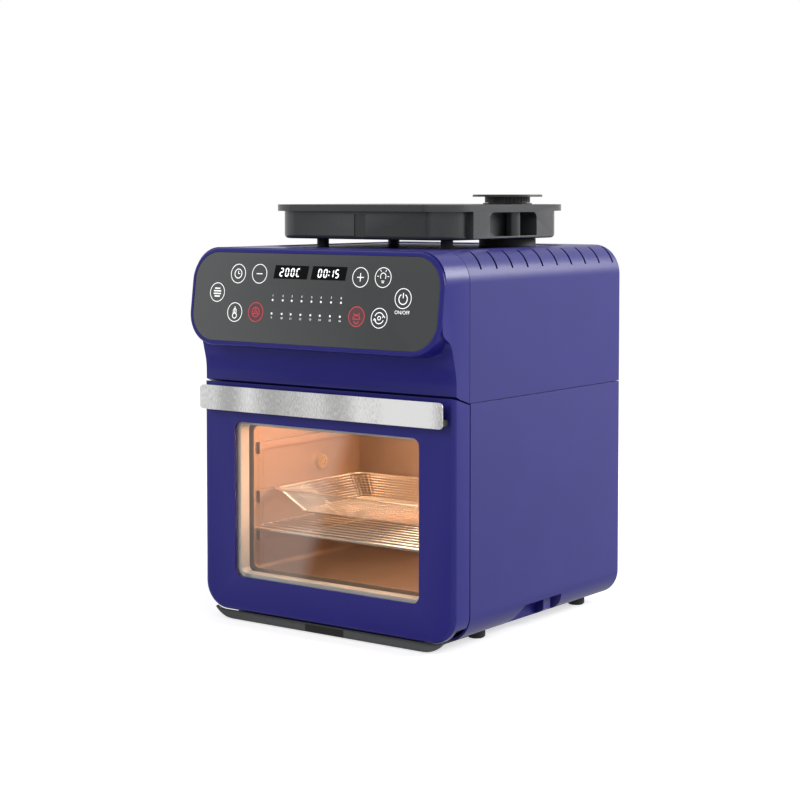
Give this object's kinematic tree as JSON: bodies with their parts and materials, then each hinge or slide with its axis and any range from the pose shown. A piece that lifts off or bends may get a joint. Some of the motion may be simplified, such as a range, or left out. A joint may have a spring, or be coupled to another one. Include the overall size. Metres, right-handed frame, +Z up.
{
  "type": "steam air fryer oven",
  "caption": "Countertop steam air fryer oven with a drop-down glass door, leaning control panel and a lift-off water tank on top.",
  "frame": {"origin": "middle of the bounding box on the floor under the feet", "axes": "+X to the right of a user facing the door, +Y to the back, +Z up"},
  "size_m": [0.31, 0.3312, 0.4306],
  "materials": {
    "housing_blue": "satin",
    "front_blue": "satin",
    "base_black": "matte",
    "rubber_black": "matte",
    "panel_grey": "gloss",
    "display_black": "gloss",
    "circuit_green": "satin",
    "brushed_steel": "brushed",
    "cavity_steel": "satin",
    "magnet_grey": "satin",
    "spacer_grey": "satin",
    "clear_glass": "gloss",
    "element_dark": "satin",
    "fan_aluminium": "satin",
    "motor_dark": "satin",
    "chrome_wire": "polished",
    "generator_aluminium": "cast",
    "hose_white": "satin",
    "nozzle_brass": "satin",
    "tray_grey": "matte",
    "tank_smoke": "gloss",
    "lid_grey": "gloss",
    "cap_grey": "satin"
  },
  "bodies": {
    "oven": {"base_plate": "base_black", "catch_magnets": "magnet_grey", "cavity_liner": "cavity_steel", "cavity_supports": "cavity_steel", "control_board": "circuit_green", "control_panel": "panel_grey", "cord_gland": "base_black", "display_windows": "display_black", "door_gasket": "rubber_black", "door_sensor": "base_black", "element_guard": "cavity_steel", "fan_motor": "motor_dark", "feed_pipe": "hose_white", "feet": "rubber_black", "front_frame": "cavity_steel", "head_housing": "front_blue", "heater_housing": "cavity_steel", "heating_element": "element_dark", "hinge_brackets": "cavity_steel", "lamp_bulb": "clear_glass", "lamp_glass": "clear_glass", "lamp_housing": "cavity_steel", "lower_housing": "housing_blue", "motor_bracket": "cavity_steel", "power_board": "circuit_green", "rear_cover": "base_black", "steam_generator": "generator_aluminium", "steam_nozzle": "nozzle_brass", "steam_pipe": "hose_white", "tank_posts": "base_black", "temperature_probe": "cavity_steel", "thermostat": "cavity_steel", "transfer_pipe": "hose_white", "tray_rails": "base_black", "upper_housing": "housing_blue", "water_dock": "base_black", "water_pump": "motor_dark"},
    "door": {"door_shell": "front_blue", "outer_glass": "clear_glass", "glass_spacer": "spacer_grey", "inner_glass": "clear_glass", "door_inner_frame": "cavity_steel", "handle_strip": "brushed_steel", "handle_backing": "base_black", "hinge_pins": "cavity_steel"},
    "tank": {"water_tank": "tank_smoke", "tank_lid": "lid_grey", "tank_valve": "tank_smoke"},
    "cap": {"filler_cap": "cap_grey", "cap_seal": "rubber_black"},
    "fans": {"motor_shaft": "cavity_steel", "convection_fan": "fan_aluminium", "cooling_fan": "fan_aluminium"},
    "tray": {"condensate_tray": "tray_grey"},
    "rack": {"wire_rack": "chrome_wire"},
    "basket": {"mesh_basket": "chrome_wire"}
  },
  "joints": [
    {"name": "door_hinge", "type": "hinge", "parent": "oven", "child": "door", "pos_m": [0, -0.13137, 0.0235], "axis": [1, 0, 0], "range_deg": [0, 90]},
    {"name": "tray_slide", "type": "slide", "parent": "oven", "child": "tray", "axis": [0, -1, 0], "range_m": [0, 0.06]},
    {"name": "rack_slide", "type": "slide", "parent": "oven", "child": "rack", "axis": [0, -1, 0], "range_m": [0, 0.08]},
    {"name": "basket_slide", "type": "slide", "parent": "oven", "child": "basket", "axis": [0, -1, 0], "range_m": [0, 0.1]},
    {"name": "tank_lift", "type": "slide", "parent": "oven", "child": "tank", "axis": [0, 0, 1], "range_m": [0, 0.06]},
    {"name": "cap_lift", "type": "slide", "parent": "tank", "child": "cap", "axis": [0, 0, 1], "range_m": [0, 0.025]},
    {"name": "fan_spin", "type": "hinge", "parent": "oven", "child": "fans", "pos_m": [0, -0.01537, 0.25], "axis": [0, 0, 1], "continuous": true}
  ],
  "couplings": [
    {"joint": "rack_slide", "follows": "door_hinge", "m_per_rad": 0.05},
    {"joint": "basket_slide", "follows": "door_hinge", "m_per_rad": 0.06}
  ]
}
